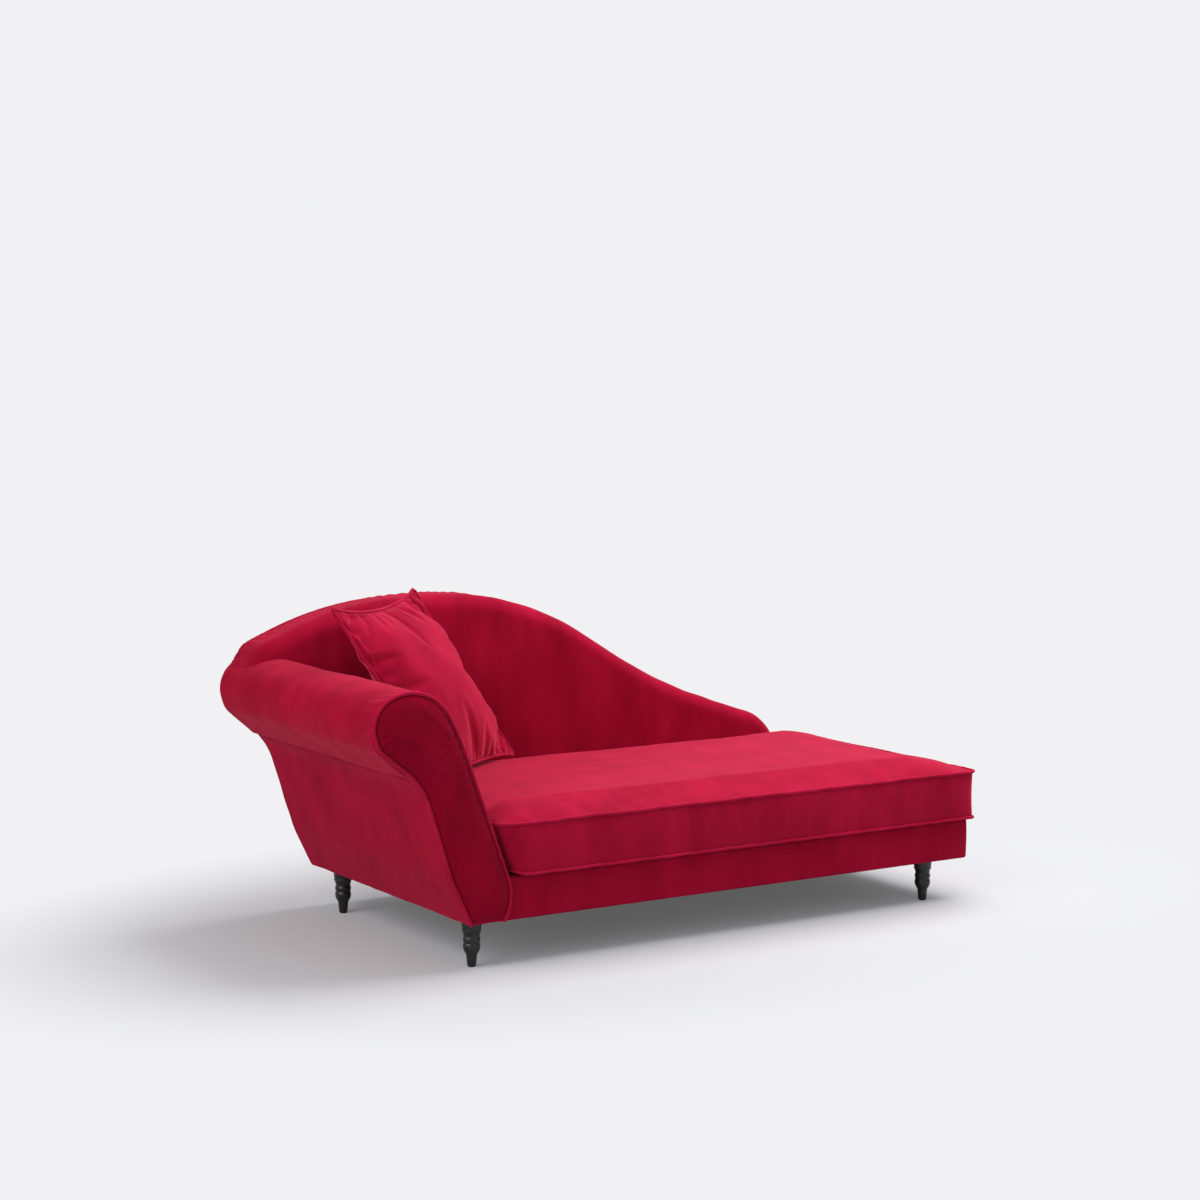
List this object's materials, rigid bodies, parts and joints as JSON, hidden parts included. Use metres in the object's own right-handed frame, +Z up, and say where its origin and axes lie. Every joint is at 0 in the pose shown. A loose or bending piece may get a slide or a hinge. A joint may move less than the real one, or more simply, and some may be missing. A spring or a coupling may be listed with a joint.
{
  "type": "chaise longue",
  "caption": "Chaise longue with a tall scroll arm at one end, a swept back along the side, a loose boxed seat cushion, a scatter cushion and short turned legs.",
  "frame": {"origin": "middle of the floor area under the whole piece, at floor level", "axes": "+X from the arm end to the foot end, +Y from the open front to the back, +Z up"},
  "size_m": [1.9502, 0.9496, 0.9096],
  "materials": {
    "velvet": "crimson velvet, short pile",
    "velvet_piping": "crimson velvet cut on the bias over cord",
    "foam": "upholstery foam and fibre filling, matt",
    "timber": "sawn softwood, unfinished",
    "plywood": "birch plywood and hardboard, unfinished",
    "black_turned_wood": "satin black lacquer",
    "steel": "zinc plated",
    "glide": "moulded, matt",
    "webbing": "woven elastic strap",
    "deck_cloth": "plain woven platform cloth",
    "dust_cloth": "spunbonded cloth, matt"
  },
  "bodies": {
    "frame": {"arm_base_board": "plywood", "arm_cover": "velvet", "arm_facing": "velvet", "arm_foam": "foam", "arm_front_board": "plywood", "arm_outside_board": "plywood", "arm_outside_cover": "velvet", "arm_piping": "velvet_piping", "arm_rear_board": "plywood", "arm_roll_rail": "timber", "arm_seat_rail": "timber", "arm_tuck_rail": "timber", "back_cover": "velvet", "back_crest_strip": "timber", "back_foam": "foam", "back_front_board": "plywood", "back_outside_cover": "velvet", "back_posts": "timber", "back_rear_board": "plywood", "base_cover": "velvet", "base_wadding": "foam", "deck_cloth": "deck_cloth", "dust_cloth": "dust_cloth", "leg_blocks": "timber", "leg_bolts": "steel", "leg_glides": "glide", "leg_tee_nuts": "steel", "legs": "black_turned_wood", "seat_cross_rails": "timber", "seat_foot_rail": "timber", "seat_front_rail": "timber", "seat_head_rail": "timber", "seat_middle_rail": "timber", "seat_rear_rail": "timber", "webbing_across": "webbing", "webbing_along": "webbing"},
    "seat_cushion": {"seat_cushion_foam": "foam", "seat_cushion_cover": "velvet", "seat_cushion_piping_top": "velvet_piping", "seat_cushion_piping_bottom": "velvet_piping"},
    "scatter_cushion": {"scatter_filling": "foam", "scatter_cover": "velvet", "scatter_piping": "velvet_piping"}
  },
  "joints": [
    {"name": "seat_cushion_lift", "type": "slide", "parent": "frame", "child": "seat_cushion", "axis": [0, 0, 1], "range_m": [0, 0.7]},
    {"name": "scatter_cushion_lift", "type": "slide", "parent": "seat_cushion", "child": "scatter_cushion", "axis": [0.4468, -0.5957, 0.6675], "range_m": [0, 0.5]}
  ]
}
